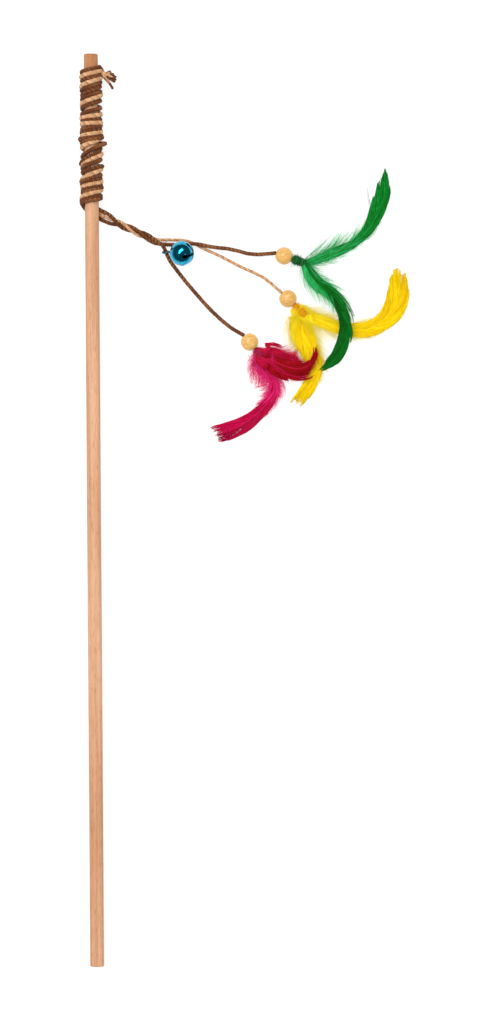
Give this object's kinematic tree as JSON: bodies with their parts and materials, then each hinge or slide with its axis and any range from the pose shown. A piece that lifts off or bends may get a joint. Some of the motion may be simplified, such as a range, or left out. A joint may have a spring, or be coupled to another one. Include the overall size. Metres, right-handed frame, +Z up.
{
  "type": "cat teaser wand",
  "caption": "Cat teaser wand: a plain wooden stick with yarn cords wound round its tip, twisted into a lead with a round bell, ending in beads with dyed feather tassels.",
  "frame": {"origin": "centre of the stick's handle end face, on the stick's axis", "axes": "+Y along the stick towards its wound tip, +X towards the side where the tassels lie, +Z up from the surface that the wand lies on"},
  "size_m": [0.1863, 0.52, 0.0151],
  "materials": {
    "stick_wood": "bare sanded beech, fine flecks along the grain",
    "bead_wood": "pale wood with a thin clear lacquer",
    "brown_yarn": "soft twisted yarn, matte and slightly fuzzy",
    "beige_yarn": "soft twisted yarn, matte and slightly fuzzy",
    "green_thread": "fine wound thread",
    "orange_thread": "fine wound thread",
    "red_thread": "fine wound thread",
    "green_feather": "dyed feather, silky vane and downy base",
    "yellow_feather": "dyed feather, silky vane and downy base",
    "magenta_feather": "dyed feather, silky vane and downy base",
    "dark_red_feather": "dyed feather, silky vane and downy base",
    "bell_metal": "thin steel with a polished blue-green metallic coat",
    "bell_wire": "wire with the same polished coat",
    "pellet_steel": "plain steel ball"
  },
  "bodies": {
    "wand": {"stick": "stick_wood", "winding_red": "brown_yarn", "tail_red": "brown_yarn", "winding_yellow": "beige_yarn", "tail_yellow": "beige_yarn", "winding_green": "brown_yarn", "tail_green": "brown_yarn"},
    "lead": {"lead_red": "brown_yarn", "lead_yellow": "beige_yarn", "lead_green": "brown_yarn"},
    "bell": {"bell_loop_shell": "bell_metal", "bell_slot_shell": "bell_metal", "bell_loop": "bell_wire"},
    "pellet": {"bell_pellet": "pellet_steel"},
    "strand_red": {"strand_red": "brown_yarn"},
    "tassel_red": {"bead_red": "bead_wood", "cord_end_red": "brown_yarn", "binding_red": "red_thread", "feather_magenta": "magenta_feather", "feather_dark_red": "dark_red_feather"},
    "strand_yellow": {"strand_yellow": "beige_yarn"},
    "tassel_yellow": {"bead_yellow": "bead_wood", "cord_end_yellow": "beige_yarn", "binding_yellow": "orange_thread", "feather_yellow_right": "yellow_feather", "feather_yellow_lower": "yellow_feather"},
    "strand_green": {"strand_green": "brown_yarn"},
    "tassel_green": {"bead_green": "bead_wood", "cord_end_green": "brown_yarn", "binding_green": "green_thread", "feather_green_upper": "green_feather", "feather_green_lower": "green_feather"}
  },
  "joints": [
    {"name": "lead_swing", "type": "hinge", "parent": "wand", "child": "lead", "pos_m": [0.0068, 0.42762, -0.00284], "axis": [-0.4368, -0.8996, 0], "range_deg": [-85, 75]},
    {"name": "bell_swing", "type": "hinge", "parent": "lead", "child": "bell", "pos_m": [0.042, 0.4069, 0.00005], "axis": [0.0612, -0.9363, -0.3459], "range_deg": [0, 75]},
    {"name": "pellet_roll", "type": "hinge", "parent": "bell", "child": "pellet", "pos_m": [0.0511, 0.406, 0.0041], "axis": [-0.9951, 0.0984, 0], "continuous": true},
    {"name": "strand_red_swing", "type": "hinge", "parent": "lead", "child": "strand_red", "pos_m": [0.0446, 0.4013, -0.0024], "axis": [0, 0, 1], "range_deg": [-20, 4]},
    {"name": "tassel_red_swing", "type": "hinge", "parent": "strand_red", "child": "tassel_red", "pos_m": [0.08602, 0.35931, 0.001], "axis": [0, 0, 1], "range_deg": [-30, 6]},
    {"name": "strand_yellow_swing", "type": "hinge", "parent": "lead", "child": "strand_yellow", "pos_m": [0.0676, 0.4069, -0.003], "axis": [0, 0, 1], "range_deg": [-6, 4]},
    {"name": "tassel_yellow_swing", "type": "hinge", "parent": "strand_yellow", "child": "tassel_yellow", "pos_m": [0.10763, 0.38344, 0.001], "axis": [0, 0, 1], "range_deg": [-7, 8]},
    {"name": "strand_green_swing", "type": "hinge", "parent": "lead", "child": "strand_green", "pos_m": [0.0672, 0.41, -0.0026], "axis": [0, 0, 1], "range_deg": [-5, 35]},
    {"name": "tassel_green_swing", "type": "hinge", "parent": "strand_green", "child": "tassel_green", "pos_m": [0.10451, 0.40604, 0.001], "axis": [0, 0, 1], "range_deg": [-5, 30]}
  ]
}
